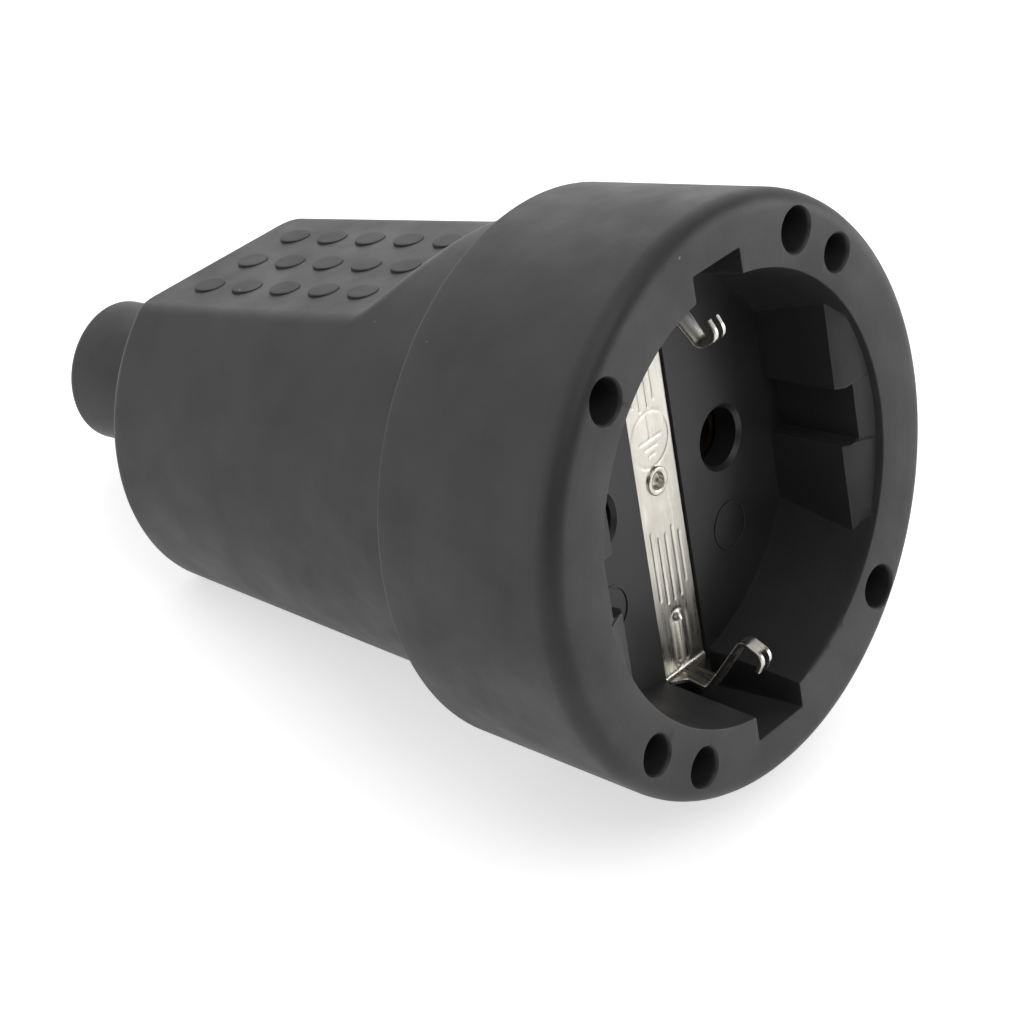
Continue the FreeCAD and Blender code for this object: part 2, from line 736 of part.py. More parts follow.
def terminals():
    """Brass blocks behind the sleeves, each with a wire hole and a wire screw."""
    front = f"(-{BASE_REAR})"
    half_width, half_height = "size.terminal_width / 2", "size.terminal_height / 2"
    screw_z = f"({front} - size.terminal_length + size.terminal_screw_inset)"
    for side, sign in (("left", "-"), ("right", "")):
        name = "terminal_block_" + side
        x = sign + "size.pin_spacing / 2"
        block = box(name + "_block", (f"{x} - {half_width}", f"{x} + {half_width}"),
                    ("-" + half_height, half_height),
                    (f"{front} - size.terminal_length", front))
        seat = cylinder(name + "_seat", "size.sleeve_outer_diameter / 2",
                        "size.sleeve_seat", x, "0", f"{front} - size.sleeve_seat")
        wire = cylinder(name + "_wire", "size.wire_hole_diameter / 2", "size.terminal_length",
                        x, "0", f"{front} - size.terminal_length")
        thread = cylinder(name + "_thread", "size.screw_diameter / 2",
                          "size.terminal_screw_length + size.fit_clearance",
                          x, half_height, screw_z, 90)
        keep(cut(name + "_cut", block, [seat, wire, thread]), name)
        slotted_screw("terminal_screw_" + side, x, half_height, screw_z,
                      "size.terminal_screw_length", "-y")


def earth_terminal():
    """The earth block under the link's rear leg; its screw clamps both."""
    top = "(size.link_height - size.link_thickness / 2)"
    front = f"(-{BASE_REAR})"
    half = "size.earth_terminal_width / 2"
    screw_z = f"({front} - size.earth_terminal_length / 2)"
    block = box("earth_block", ("-" + half, half), (f"{top} - size.earth_terminal_height", top),
                (f"{front} - size.earth_terminal_length", front))
    wire = cylinder("earth_wire", "size.wire_hole_diameter / 2",
                    "size.earth_terminal_length - size.overrun", "0",
                    f"{top} - size.earth_terminal_height / 2",
                    f"{front} - size.earth_terminal_length")
    thread = cylinder("earth_thread", "size.screw_diameter / 2",
                      "size.terminal_screw_length - size.link_thickness + size.fit_clearance",
                      "0", top, screw_z, 90)
    keep(cut("earth_block_cut", block, [wire, thread]), "earth_terminal_block")
    slotted_screw("earth_terminal_screw", "0", f"({top} + size.link_thickness)", screw_z,
                  "size.terminal_screw_length", "-y")


def tongue_bends():
    """Where a tongue bends, from its tip down to its knee, as (y, z)."""
    bends = [(number(f"size.{name}_spacing / 2"), -number(f"size.{name}_depth"))
             for name in ("tongue_tip", "tongue_crest", "tongue_apex")]
    return bends + [(number(KNEE_PLACE), -number("size.tongue_knee_depth"))]


def earth_strap():
    """Strip across the faceplate whose ends rise, fold inward and end in a hooked fork."""
    thickness, width = number("size.strap_thickness"), number("size.strap_width")
    floor = -number("size.recess_depth + size.strap_sink + size.strap_thickness / 2")
    one_end = tongue_bends() + [(number(STRAP_END), floor)]
    points = [(-y, z) for y, z in one_end] + one_end[::-1]
    strip = bent_strip(points, number("size.strap_bend_radius"), thickness, width)
    top = floor + thickness / 2
    trim_from = top + number("size.strap_bend_radius")
    side = (width - number("size.tongue_width")) / 2
    span, reach = number("size.clip_slot_span"), number("size.recess_depth")
    for x in (-width / 2, width / 2 - side):
        trim = Part.makeBox(side, span, reach, FreeCAD.Vector(x, -span / 2, trim_from))
        strip = strip.cut(trim)
    hole = Part.makeCylinder(number("size.rivet_diameter / 2"), 2 * thickness,
                             FreeCAD.Vector(0, 0, top - 1.5 * thickness))
    strip = strip.cut(hole)
    for end in (-1, 1):
        strip = strip.cut(fork_slot(end, thickness))
        strip = strip.fuse(strap_bead(end, top, thickness))
    solid_node(strip.removeSplitter(), "earth_strap")


def fork_slot(end, thickness):
    """The slot that splits a tongue's hooked end into two prongs."""
    width = number("size.fork_slot_width")
    inner = number("size.tongue_crest_spacing / 2") - thickness
    outer = number("size.tongue_tip_spacing / 2") + thickness
    depth = number("size.tongue_tip_depth") + 2 * thickness
    low, high = sorted((end * inner, end * outer))
    return Part.makeBox(width, high - low, depth, FreeCAD.Vector(-width / 2, low, -depth))


def strap_bead(end, top, thickness):
    """A long stiffening bead pressed up from the strap near its bend."""
    half, height = number("size.bead_width / 2"), number("size.bead_height")
    radius = (half ** 2 + height ** 2) / (2 * height)
    outer = number(f"{STRAP_END} - size.bead_end_margin") - half
    inner = outer - number("size.bead_length") + 2 * half
    axis = top + height - radius
    low, high = sorted((end * inner, end * outer))
    bead = Part.makeCylinder(radius, high - low, FreeCAD.Vector(0, low, axis),
                             FreeCAD.Vector(0, 1, 0))
    for y in (low, high):
        bead = bead.fuse(Part.makeSphere(radius, FreeCAD.Vector(0, y, axis)))
    slab = Part.makeBox(4 * radius, high - low + 4 * radius, height + thickness / 2,
                        FreeCAD.Vector(-2 * radius, low - 2 * radius, top - thickness / 2))
    return bead.common(slab)


def earth_link():
    """Strip from the rivet behind the faceplate to the earth terminal."""
    thickness = number("size.link_thickness")
    front = -number(FACE_REAR) - thickness / 2
    rear = -number(f"{BASE_REAR} + size.earth_terminal_length")
    height = number("size.link_height")
    points = [(-number("size.link_overhang"), front), (height, front), (height, rear)]
    strip = bent_strip(points, number("size.link_bend_radius"), thickness,
                       number("size.link_width"))
    rivet = Part.makeCylinder(number("size.rivet_diameter / 2"), 2 * thickness,
                              FreeCAD.Vector(0, 0, front - thickness))
    screw_z = -number(f"{BASE_REAR} + size.earth_terminal_length / 2")
    screw = Part.makeCylinder(number("size.screw_diameter / 2 + size.fit_clearance"),
                              2 * thickness, FreeCAD.Vector(0, height - thickness, screw_z),
                              FreeCAD.Vector(0, 1, 0))
    solid_node(strip.cut(rivet).cut(screw), "earth_link")


def earth_rivet():
    """Hollow rivet through strap, faceplate and link, closed over at both ends."""
    top = "(-size.recess_depth - size.strap_sink)"
    rear = f"(-{FACE_REAR} - size.link_thickness)"
    flange = "size.rivet_flange_thickness"
    shank = cylinder("rivet_shank", "size.rivet_diameter / 2", f"{top} - {rear}",
                     "0", "0", rear)
    head = cylinder("rivet_head", "size.rivet_flange_diameter / 2", flange, "0", "0", top)
    tail = cylinder("rivet_tail", "size.rivet_flange_diameter / 2", flange,
                    "0", "0", f"{rear} - {flange}")
    bore = cylinder("rivet_hole", "size.rivet_bore / 2", f"{top} - {rear} + 2 * {flange}",
                    "0", "0", f"{rear} - {flange}")
    keep(cut("rivet_cut", join("rivet_blank", [shank, head, tail]), [bore]), "earth_rivet")


def base_screws():
    seat = f"(-{BASE_REAR} + size.counterbore_depth)"
    length = "size.base_length - size.counterbore_depth + size.base_screw_grip"
    slotted_screw("base_screw_upper", "(-size.base_screw_x)", "size.base_screw_y", seat,
                  length, "+z")
    slotted_screw("base_screw_lower", "size.base_screw_x", "(-size.base_screw_y)", seat,
                  length, "+z")


def cord_clamp():
    """Saddle over the cord and its two screws into the shelf."""
    half = "(size.clamp_screw_spacing / 2 + size.clamp_boss_diameter / 2)"
    low, high = "size.clamp_bar_lift", "(size.clamp_bar_lift + size.clamp_bar_height)"
    middle = f"(-{CLAMP_PLACE})"
    front = f"({middle} + size.clamp_bar_length / 2)"
    rear = f"({middle} - size.clamp_bar_length / 2)"
    bar = box("clamp_block", ("-" + half, half), (low, high), (rear, front))
    cord = cylinder("clamp_arch", "size.cord_radius", "size.clamp_bar_length", "0", "0", rear)
    tools = [cord]
    for side, sign in (("left", "-"), ("right", "")):
        x = sign + "size.clamp_screw_spacing / 2"
        tools.append(cylinder("clamp_way_" + side, "size.screw_diameter / 2 + size.fit_clearance",
                              "size.clamp_bar_height", x, high, middle, 90))
        length = f"{high} + size.cord_radius + size.shelf_thickness - size.overrun"
        slotted_screw("cord_clamp_screw_" + side, x, high, middle, length, "-y")
    keep(cut("clamp_cut", bar, tools), "cord_clamp_bar")


# Laying the connector down

def rest_tilt():
    """Angle at which the barrel's rear edge and the lower side of the grip touch a table."""
    edge = number("size.barrel_rear_round")
    taper = math.atan(number("(size.barrel_front_diameter - size.barrel_rear_diameter) / 2"
                             " / size.barrel_length"))
    edge_z = -number("size.barrel_length") + edge
    edge_low = (number("size.barrel_rear_diameter / 2") + edge * math.tan(taper)
                - edge / math.cos(taper))
    dot_low = number(f"size.flat_rear_height + size.dot_rear_margin * {FLAT_TAPER}"
                     " + size.dot_height")
    dot_z = number(f"size.dot_rear_margin - size.dot_diameter / 2 - {GRIP_REAR}")
    touching = [(dot_low, dot_z),
                (number("size.flat_rear_height"), -number(GRIP_REAR)),
                (number("size.gland_diameter / 2"), -number(COVER_REAR))]
    tilts = []
    for low, z in touching:
        drop, run = edge_low - low, edge_z - z
        tilts.append(math.atan2(drop, run) + math.asin(edge / math.hypot(drop, run)))
    return math.degrees(min(tilts))


def lay_down():
    """Turns every sub-part alike, so that the face looks along -Y and the part rests."""
    turn = FreeCAD.Rotation(FreeCAD.Vector(1, 0, 0), 90 - rest_tilt())
    cover = next(item for item in nodes if item.Label == "rubber_cover").Shape.copy()
    cover.Placement = FreeCAD.Placement(FreeCAD.Vector(), turn)
    bounds = cover.optimalBoundingBox(False)
    middle = FreeCAD.Vector(-bounds.Center.x, -bounds.Center.y, -bounds.ZMin)
    for item in nodes:
        item.Placement = FreeCAD.Placement(middle, turn)
    doc.recompute()
    print("laid down at", rest_tilt(), "degrees, moved by", middle)


def check_and_export():
    for item in doc.Objects:
        if "Invalid" in item.State or "Error" in item.State:
            raise ValueError(f"{item.Name} failed: {item.State}")
    os.makedirs("parts", exist_ok=True)
    for item in nodes:
        shape = item.Shape
        if shape.isNull() or not shape.isValid() or len(shape.Solids) != 1:
            raise ValueError(f"{item.Label} is not one valid solid")
        shape.exportStep(f"parts/{item.Label}.step")
        print(item.Label, round(shape.Volume, 1))


rubber_cover()
socket_faceplate()
contact_base()
contact_sleeves()
terminals()
earth_strap()
earth_rivet()
earth_link()
earth_terminal()
base_screws()
cord_clamp()
doc.recompute()
lay_down()
check_and_export()
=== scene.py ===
import json
import math

import bmesh
import bpy
import numpy as np
from mathutils import Matrix, Vector


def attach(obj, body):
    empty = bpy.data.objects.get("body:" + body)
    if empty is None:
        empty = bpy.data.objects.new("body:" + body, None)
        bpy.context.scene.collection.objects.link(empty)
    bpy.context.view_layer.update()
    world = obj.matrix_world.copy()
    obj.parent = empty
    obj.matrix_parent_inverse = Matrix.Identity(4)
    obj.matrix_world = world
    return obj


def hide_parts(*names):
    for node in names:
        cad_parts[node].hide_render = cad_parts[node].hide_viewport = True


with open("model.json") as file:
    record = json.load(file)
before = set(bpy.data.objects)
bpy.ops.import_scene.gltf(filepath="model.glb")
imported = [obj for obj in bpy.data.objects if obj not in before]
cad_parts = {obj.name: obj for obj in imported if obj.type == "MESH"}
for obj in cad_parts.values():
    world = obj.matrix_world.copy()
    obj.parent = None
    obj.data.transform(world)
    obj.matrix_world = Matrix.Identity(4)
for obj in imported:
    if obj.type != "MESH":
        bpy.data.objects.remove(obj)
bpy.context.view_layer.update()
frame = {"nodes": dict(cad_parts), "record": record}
NODES = frame["nodes"]
MM = 0.001

# The connector's own axes: X through both pins, Y up to the upper grip flat, Z out of
# the socket face, with its origin at the centre of the rim's front plane.
rim = next(m for m in frame["record"]["mounts"] if m["name"] == "rim_face")
OUT = Vector(rim["axis"]).normalized()
UP = OUT.cross(Vector((1, 0, 0))).normalized()
RIM_CENTRE = Vector((0, rim["pos_m"][1], rim["pos_m"][2]))
AXES = Matrix((Vector((1, 0, 0)), UP, OUT)).transposed().to_4x4()
TO_ROW = Matrix.Translation(RIM_CENTRE) @ AXES

# Camera, in the connector's axes
CAMERA_PLACE_MM = (-231.28, 146.03, 190.18)
CAMERA_VIEW = (0.6548, -0.4324, -0.6200)
CAMERA_UP = (0.4260, 0.8887, -0.1699)
LENS_MM = 132.15
SENSOR_MM = 36

# Colours and roughness
RUBBER_DARK = (0.021, 0.0212, 0.0228)
RUBBER_LIGHT = (0.029, 0.0293, 0.0312)
# Painted shade: the dots' tops are painted darker than the flats round them
RUBBER_DOT_PAINTED_SHADE = (0.016, 0.0162, 0.0178)
DUST = (0.2, 0.2, 0.195)
PLASTIC_DARK, PLASTIC_LIGHT = (0.016, 0.016, 0.017), (0.024, 0.024, 0.025)
NICKEL_DARK, NICKEL_LIGHT = (0.57, 0.545, 0.485), (0.70, 0.675, 0.61)
# Brass far darker than its own colour: partly tarnish, partly painted shade for the sleeves
# deep in the pin holes
BRASS_DARK, BRASS_LIGHT = (0.17, 0.12, 0.06), (0.30, 0.21, 0.10)
ZINC_DARK, ZINC_LIGHT = (0.5, 0.5, 0.52), (0.68, 0.68, 0.68)
DRAPE_DARK, DRAPE_LIGHT = (0.07, 0.07, 0.07), (0.1, 0.1, 0.1)
FLOOR_SEEN, FLOOR_UNSEEN = (0.8, 0.8, 0.8), (0.3, 0.3, 0.3)
RUBBER_ROUGH, PLASTIC_ROUGH, CLOTH_ROUGH = (0.47, 0.6), (0.4, 0.52), 0.9

# Lamps: place and aim in mm, in the connector's axes, width and height in m, watts
LAMPS = [("key", (330, 260, -300), (0, 0, -30), 0.5, 0.4, 0.28),
         ("side", (400, 20, 270), (0, 0, -5), 0.3, 0.26, 0.85),
         ("upper_front", (-90, 340, 330), (0, 0, -8), 0.3, 0.3, 0.65)]
# The floor's size in m, and how strongly it glows where it is seen
FLOOR_SIZE, FLOOR_GLOW = 6.0, 0.6
# Drape: radius in m, its reach round the object and upwards in degrees, and its points
DRAPE_RADIUS = 0.75
DRAPE_TURN = (185, 352)
DRAPE_RISE = (7, 72)
DRAPE_COLUMNS, DRAPE_ROWS = 25, 9

# Sizes in mm, in the connector's axes; Z is 0 at the rim and negative behind it
ARC_STEP = math.radians(14)
# Points nearer than this many metres are joined
WELD_M = 1e-7
# A step so long that straight runs stay whole
UNDIVIDED = 99
RIM_INNER = 23.6
BARREL_FRONT_R, BARREL_REAR_R, BARREL_REAR_Z = 27.8, 25.8, -21.3
FRONT_ROUND, REAR_ROUND, NECK_ROUND, BARREL_STEP = 1.8, 0.4, 0.3, 1.6
GRIP_FRONT_R, GRIP_REAR_R, GRIP_REAR_Z, GRIP_ROUND = 22.4, 18.3, -61.9, 0.9
GRIP_TAPER = (GRIP_FRONT_R - GRIP_REAR_R) / (BARREL_REAR_Z - GRIP_REAR_Z)
CONE_START_Z, RAMP_TOP_Z, RAMP_STEP = -22.5, -28.0, 0.2
FLAT_FRONT_HEIGHT, FLAT_REAR_HEIGHT, FLAT_FOOT_Z = 17.7, 14.45, -33.0
FLAT_TAPER = (FLAT_FRONT_HEIGHT - FLAT_REAR_HEIGHT) / (FLAT_FOOT_Z - GRIP_REAR_Z)
VALLEY_BLEND, EDGE_BLEND, CREST_BLEND, BLEND_CHANGE, HALVINGS = 0.8, 0.55, 1.1, 2, 34
FLAT_FROM, SIDE_COLUMNS, FLAT_COLUMNS = math.radians(47), 30, 96
GLAND_R, GLAND_BORE_R, GLAND_FOOT, GLAND_ROUND, COVER_REAR_Z = 7.0, 4.3, 0.3, 0.8, -79.7
GLAND_FACE, GLAND_STEP = 0.6, 2.0
# Rings on the grip's rear face, as shares of the way from the gland to the grip's edge
REAR_FACE_SHARES = (0.9, 0.75, 0.55, 0.35, 0.15)
DOT_R, DOT_RISE, DOT_ROOT, DOT_ROUND = 1.5, 0.25, 0.6, 0.12
DOT_HUB, DOT_STEP, DOT_SIDES = 0.3, 0.6, 40
DOT_MARGIN, DOT_PITCH_ALONG, DOT_PITCH_ACROSS, DOTS_ALONG = 4.95, 5.03, 6.12, 5
# Angle round the axis, diameter of the hole, diameter of the circle it is on
RIM_HOLES = [(61.4, 4.1, 48.4), (44.7, 3.5, 47.8), (134.4, 4.05, 48.4), (223.9, 3.7, 48.4),
             (241.8, 3.7, 48.4), (314.7, 4.1, 48.4)]
HOLE_SIDES, OVAL, THREE_SIDED = 48, 0.018, 0.012
# How much a rim hole's radius grows, and at which depth
HOLE_SECTION = [(-0.4, -8.0), (0.0, -7.6), (0.0, -0.45), (0.03, -0.25), (0.1, -0.1),
                (0.22, 0.0), (0.6, 0.3)]
RECESS_RIM_R, RECESS_FLARE = 20.7, 1.4 / 10.2
RIB_X, RIB_SHOULDER_Z, RIB_BEVEL = 16.8, -2.1, 1.0
GROOVE_X, GROOVE_HALF, SLOT_HALF, SLOT_REACH = 18.7, 2.85, 3.4, 22.9
CORNER_PASSES, MOUTH_ROUND, MOUTH_DEPTH, MOUTH_STEPS, TRIM_EDGE = 2, 0.13, 0.16, 4, 0.5
# Stretches of the recess's edge that were trimmed wider: their middle and half width in
# degrees, and how much wider in mm
MOUTH_TRIMS = [(-61.8, 3.3, 0.8), (-71.5, 5.6, 0.45)]
# Depths of the recess's rings, and whether the guide ribs stand in them
RECESS_LEVELS = [(-0.4, False), (-0.75, False), (-1.45, True), (-1.8, True), (-2.1, True),
                 (-2.3, True), (-4.0, True), (-6.0, True), (-8.0, True), (-10.2, True)]
COVER_WALL = 3.0
# Radius and depth of the rings inside the cover, and whether the grip's flats cut them
INSIDE_SECTION = [(20.4, -10.2, False), (20.4, -12.9, False), (19.1, -12.9, False),
                  (19.1, -27.9, False), (18.73, -27.9, True), (17.2, -43.0, True),
                  (15.7, -57.9, True), (4.3, -57.9, False), (4.3, -70.0, False),
                  (4.3, -79.4, False), (4.5, -79.7, False)]

# Corners of the strap's line from a tongue's tip inwards: y, z and the bend's radius
STRAP_BENDS = [(17.45, -1.4, 0), (16.0, -0.55, 0.8), (14.7, -2.8, 0.8), (20.4, -7.2, 0.8)]
STRAP_END_Y, STRAP_MIDDLE_Z, STRAP_TOP_Z, STRAP_BEND = 19.5, -10.7, -10.45, 0.8
STRAP_HALF, STRAP_WIDTH, TONGUE_WIDTH, STRAP_STEP, STRAP_COLUMNS = 0.25, 6.1, 2.5, 0.13, 51
SHOULDER_RISE, SHOULDER_BLEND, EDGE_SOFT = 0.65, 1.4, 0.12
TONGUE_TIP_WIDTH, TONGUE_TAPER_Z = 1.6, (-7.2, -3.4)
GROOVE_DEPTH, GROOVE_LINE, SIGN_DEPTH, SIGN_LINE, RING_LINE = 0.055, 0.16, 0.04, 0.15, 0.17
# Grooves along the strap: x, and where they start and end
STRAP_GROOVES = [(-1.75, 7.9, 14.2), (-0.75, 7.2, 15.4), (0.35, 7.2, 15.4), (1.3, 7.6, 14.6),
                 (-1.9, -11.6, -4.6), (-0.9, -12.2, -5.4), (0.1, -12.2, -5.4),
                 (1.1, -12.2, -5.0), (2.0, -11.2, -6.0)]
SIGN_X, SIGN_Y, SIGN_RADIUS = 0.0, 4.15, 2.7
# Strokes of the earth sign: start, end, place across, and the way they run
SIGN_STROKES = [(0.0, 2.6, 0.0, "y"), (-1.6, 1.6, 0.0, "x"), (-1.05, 1.05, -0.75, "x"),
                (-0.5, 0.5, -1.5, "x")]
BEAD_LOW, BEAD_HIGH, BEAD_HALF, BEAD_HEIGHT, BEAD_MOAT = 14.3, 17.9, 0.9, 0.45, 0.05
FORK_HALF, FORK_LOW, FORK_HIGH, FORK_DEEP, FORK_OUT = 0.35, 15.5, 18.5, -2.5, 0.5
RIVET_R, RIVET_BORE_R, RIVET_FLANGE_R = 0.95, 0.78, 1.38
RIVET_SIDES, RIVET_HOLE_SIDES = 48, 40
RIVET_TOP_Z, RIVET_DISH_Z, RIVET_REAR_Z = -10.2, -10.9, -14.0
RING_X, RING_Y, RING_R, RING_HALF, RING_RISE, PLATE_Z = 9.0, -8.8, 2.25, 0.13, 0.12, -10.2


def row_point(x, y, z):
    """A point in the connector's axes, in mm, as a point of the row, in metres."""
    return TO_ROW @ (Vector((x, y, z)) * MM)


def row_way(x, y, z):
    return (TO_ROW.to_3x3() @ Vector((x, y, z))).normalized()


# Materials

class Shader:
    """A Principled material with short calls for the nodes that feed it."""

    def __init__(self, name):
        self.material = bpy.data.materials.new(name)
        self.material.use_nodes = True
        self.tree = self.material.node_tree
        self.surface = self.tree.nodes["Principled BSDF"]
        self.where = self.tree.nodes.new("ShaderNodeTexCoord").outputs["Object"]

    def node(self, kind, **inputs):
        made = self.tree.nodes.new(kind)
        for name, value in inputs.items():
            name = name.replace("_", " ")
            if isinstance(value, bpy.types.NodeSocket):
                self.tree.links.new(value, made.inputs[name])
            else:
                made.inputs[name].default_value = value
        return made

    def noise(self, scale, detail=4, roughness=0.5, stretch=(1, 1, 1)):
        mapped = self.node("ShaderNodeMapping", Vector=self.where, Scale=stretch)
        made = self.node("ShaderNodeTexNoise", Vector=mapped.outputs[0], Scale=scale,
                         Detail=detail, Roughness=roughness)
        return made.outputs["Fac"]

    def ramp(self, fac, low, high, first, second):
        made = self.node("ShaderNodeValToRGB", Fac=fac)
        for element, place, colour in zip(made.color_ramp.elements, (low, high),
                                          (first, second)):
            element.position = place
            element.color = (*colour, 1) if len(colour) == 3 else colour
        return made.outputs["Color"]

    def level(self, fac, low, high, first, second):
        made = self.node("ShaderNodeMapRange", Value=fac, From_Min=low, From_Max=high,
                         To_Min=first, To_Max=second)
        return made.outputs[0]

    def mix(self, fac, first, second):
        made = self.tree.nodes.new("ShaderNodeMix")
        made.data_type = "RGBA"
        for slot, value in (("Factor", fac), ("A", first), ("B", second)):
            place = next(i for i in made.inputs if i.enabled and i.name == slot)
            if isinstance(value, bpy.types.NodeSocket):
                self.tree.links.new(value, place)
            else:
                place.default_value = value if slot == "Factor" else (*value, 1)
        return next(o for o in made.outputs if o.enabled)

    def maths(self, kind, first, second=0.0):
        made = self.tree.nodes.new("ShaderNodeMath")
        made.operation = kind
        for place, value in zip(made.inputs, (first, second)):
            if isinstance(value, bpy.types.NodeSocket):
                self.tree.links.new(value, place)
            else:
                place.default_value = value
        return made.outputs[0]

    def bump(self, height, distance, strength=1.0, below=None):
        made = self.node("ShaderNodeBump", Height=height, Distance=distance,
                         Strength=strength)
        if below is not None:
            self.tree.links.new(below, made.inputs["Normal"])
        return made.outputs[0]

    def set(self, **inputs):
        for name, value in inputs.items():
            place = self.surface.inputs[name.replace("_", " ")]
            if isinstance(value, bpy.types.NodeSocket):
                self.tree.links.new(value, place)
            else:
                place.default_value = (*value, 1) if isinstance(value, tuple) else value
        return self.material


def rubber():
    """Satin moulded rubber: cloudy tone, fine grain, painted shade on the dots' tops and a
    little dust.
    """
    shader = Shader("rubber")
    clouds = shader.noise(70, detail=5, roughness=0.6)
    grain = shader.noise(5200, detail=3, roughness=0.6)
    tone = shader.ramp(clouds, 0.3, 0.72, RUBBER_DARK, RUBBER_LIGHT)
    marks = shader.tree.nodes.new("ShaderNodeAttribute")
    marks.attribute_name = "dot_top_painted_shade"
    # Painted shade: the dots' tops take the darker dot colour
    tone = shader.mix(marks.outputs["Fac"], tone, RUBBER_DOT_PAINTED_SHADE)
    cells = shader.node("ShaderNodeTexVoronoi", Vector=shader.where, Scale=420.0)
    speck = shader.level(cells.outputs["Distance"], 0.05, 0.075, 1, 0)
    chosen = shader.node("ShaderNodeSeparateColor", Color=cells.outputs["Color"])
    rare = shader.maths("GREATER_THAN", chosen.outputs[0], 0.95)
    dust = shader.maths("MULTIPLY", speck, rare)
    colour = shader.mix(dust, tone, DUST)
    patches = shader.noise(160, detail=3, roughness=0.6)
    rough = shader.level(patches, 0.3, 0.7, *RUBBER_ROUGH)
    ripples = shader.noise(240, detail=2)
    normal = shader.bump(ripples, 0.00016, 0.4)
    normal = shader.bump(grain, 0.00003, 0.55, below=normal)
    return shader.set(Base_Color=colour, Roughness=rough, Normal=normal,
                      Specular_IOR_Level=0.5)


def dark_plastic():
    """Matte moulded plastic, with a fine grain and faint clouds."""
    shader = Shader("dark_plastic")
    clouds = shader.noise(140, detail=4)
    grain = shader.noise(4200, detail=2)
    colour = shader.ramp(clouds, 0.3, 0.7, PLASTIC_DARK, PLASTIC_LIGHT)
    rough = shader.level(clouds, 0.3, 0.7, *PLASTIC_ROUGH)
    return shader.set(Base_Color=colour, Roughness=rough,
                      Normal=shader.bump(grain, 0.00002, 0.4), Specular_IOR_Level=0.5)


def metal(name, light, dark, rough, streak=(1, 1, 1)):
    """Cloudy metal with fine streaks, which are long in the axes where streak is small."""
    shader = Shader(name)
    streaks = shader.noise(2600, detail=4, stretch=streak)
    clouds = shader.noise(300, detail=4)
    colour = shader.ramp(clouds, 0.3, 0.7, dark, light)
    roughness = shader.level(streaks, 0.3, 0.7, rough * 0.75, rough * 1.3)
    return shader.set(Base_Color=colour, Roughness=roughness, Metallic=1.0,
                      Normal=shader.bump(streaks, 0.00001, 0.5))


def dress_nodes():
    """Gives each CAD node its slot's material, and returns the materials by slot."""
    finishes = {
        "black_rubber": rubber(),
        "dark_plastic": dark_plastic(),
        "earth_steel": metal("nickel", NICKEL_LIGHT, NICKEL_DARK, 0.3, (1, 0.1, 0.1)),
        # Darkened brass: partly tarnish, partly painted shade in the pin holes
        "contact_brass": metal("brass", BRASS_LIGHT, BRASS_DARK, 0.4),
        "screw_steel": metal("zinc", ZINC_LIGHT, ZINC_DARK, 0.3),
    }
    for part in frame["record"]["subparts"]:
        item = NODES[part["node"]]
        item.data.materials.clear()
        item.data.materials.append(finishes[part["material_slot"]])
    return finishes


# Stage, lights and camera

def white_floor():
    """A white floor that stays white to the camera and still takes a soft shadow."""
    bpy.ops.mesh.primitive_plane_add(size=FLOOR_SIZE)
    floor = bpy.context.object
    floor.name = "floor"
    shader = Shader("floor_white")
    seen = seen_rays(shader.tree)
    glow = shader.maths("MULTIPLY", seen, FLOOR_GLOW)
    colour = shader.mix(seen, FLOOR_UNSEEN, FLOOR_SEEN)
    shader.set(Base_Color=colour, Roughness=CLOTH_ROUGH, Specular_IOR_Level=0.0,
               Emission_Color=(1.0, 1.0, 1.0), Emission_Strength=glow)
    floor.data.materials.append(shader.material)


def seen_rays(tree):
    """1 for camera, glossy and transmission rays, which show the background, or else 0."""
    rays = tree.nodes.new("ShaderNodeLightPath")
    total = rays.outputs["Is Camera Ray"]
    for name in ("Is Glossy Ray", "Is Transmission Ray"):
        add = tree.nodes.new("ShaderNodeMath")
        add.operation = "MAXIMUM"
        tree.links.new(total, add.inputs[0])
        tree.links.new(rays.outputs[name], add.inputs[1])
        total = add.outputs[0]
    return total


def soft_sky():
    """An even white surround of strength 1, which is also the background."""
    world = bpy.data.worlds.new("studio")
    world.use_nodes = True
    bpy.context.scene.world = world
    background = world.node_tree.nodes["Background"]
    background.inputs["Color"].default_value = (1, 1, 1, 1)
    background.inputs["Strength"].default_value = 1.0


def dark_drape():
    """A dark cloth round the camera's side of the studio, which the camera doesn't see."""
    across = np.radians(np.linspace(*DRAPE_TURN, DRAPE_COLUMNS))
    up = np.radians(np.linspace(*DRAPE_RISE, DRAPE_ROWS))
    points = [(DRAPE_RADIUS * math.cos(e) * math.cos(a),
               DRAPE_RADIUS * math.cos(e) * math.sin(a), DRAPE_RADIUS * math.sin(e))
              for e in up for a in across]
    corners = [r * DRAPE_COLUMNS + c for r in range(DRAPE_ROWS - 1)
               for c in range(DRAPE_COLUMNS - 1)]
    faces = [(i, i + 1, i + 1 + DRAPE_COLUMNS, i + DRAPE_COLUMNS) for i in corners]
    mesh = bpy.data.meshes.new("drape")
    mesh.from_pydata(points, [], faces)
    drape = bpy.data.objects.new("drape", mesh)
    bpy.context.scene.collection.objects.link(drape)
    drape.visible_camera = False
    shader = Shader("drape_cloth")
    folds = shader.noise(40, detail=4)
    shader.set(Base_Color=shader.ramp(folds, 0.3, 0.7, DRAPE_DARK, DRAPE_LIGHT),
               Roughness=CLOTH_ROUGH)
    mesh.materials.append(shader.material)


def softbox(name, place_mm, aim_mm, width, height, power):
    """A rectangular lamp, its size in metres and its power in watts."""
    light = bpy.data.lights.new(name, "AREA")
    light.shape = "RECTANGLE"
    light.size, light.size_y, light.energy = width, height, power
    item = bpy.data.objects.new(name, light)
    bpy.context.scene.collection.objects.link(item)
    place, aim = row_point(*place_mm), row_point(*aim_mm)
    item.location = place
    item.rotation_euler = (aim - place).to_track_quat("-Z", "Y").to_euler()


def studio_lights():
    dark_drape()
    for lamp in LAMPS:
        softbox(*lamp)


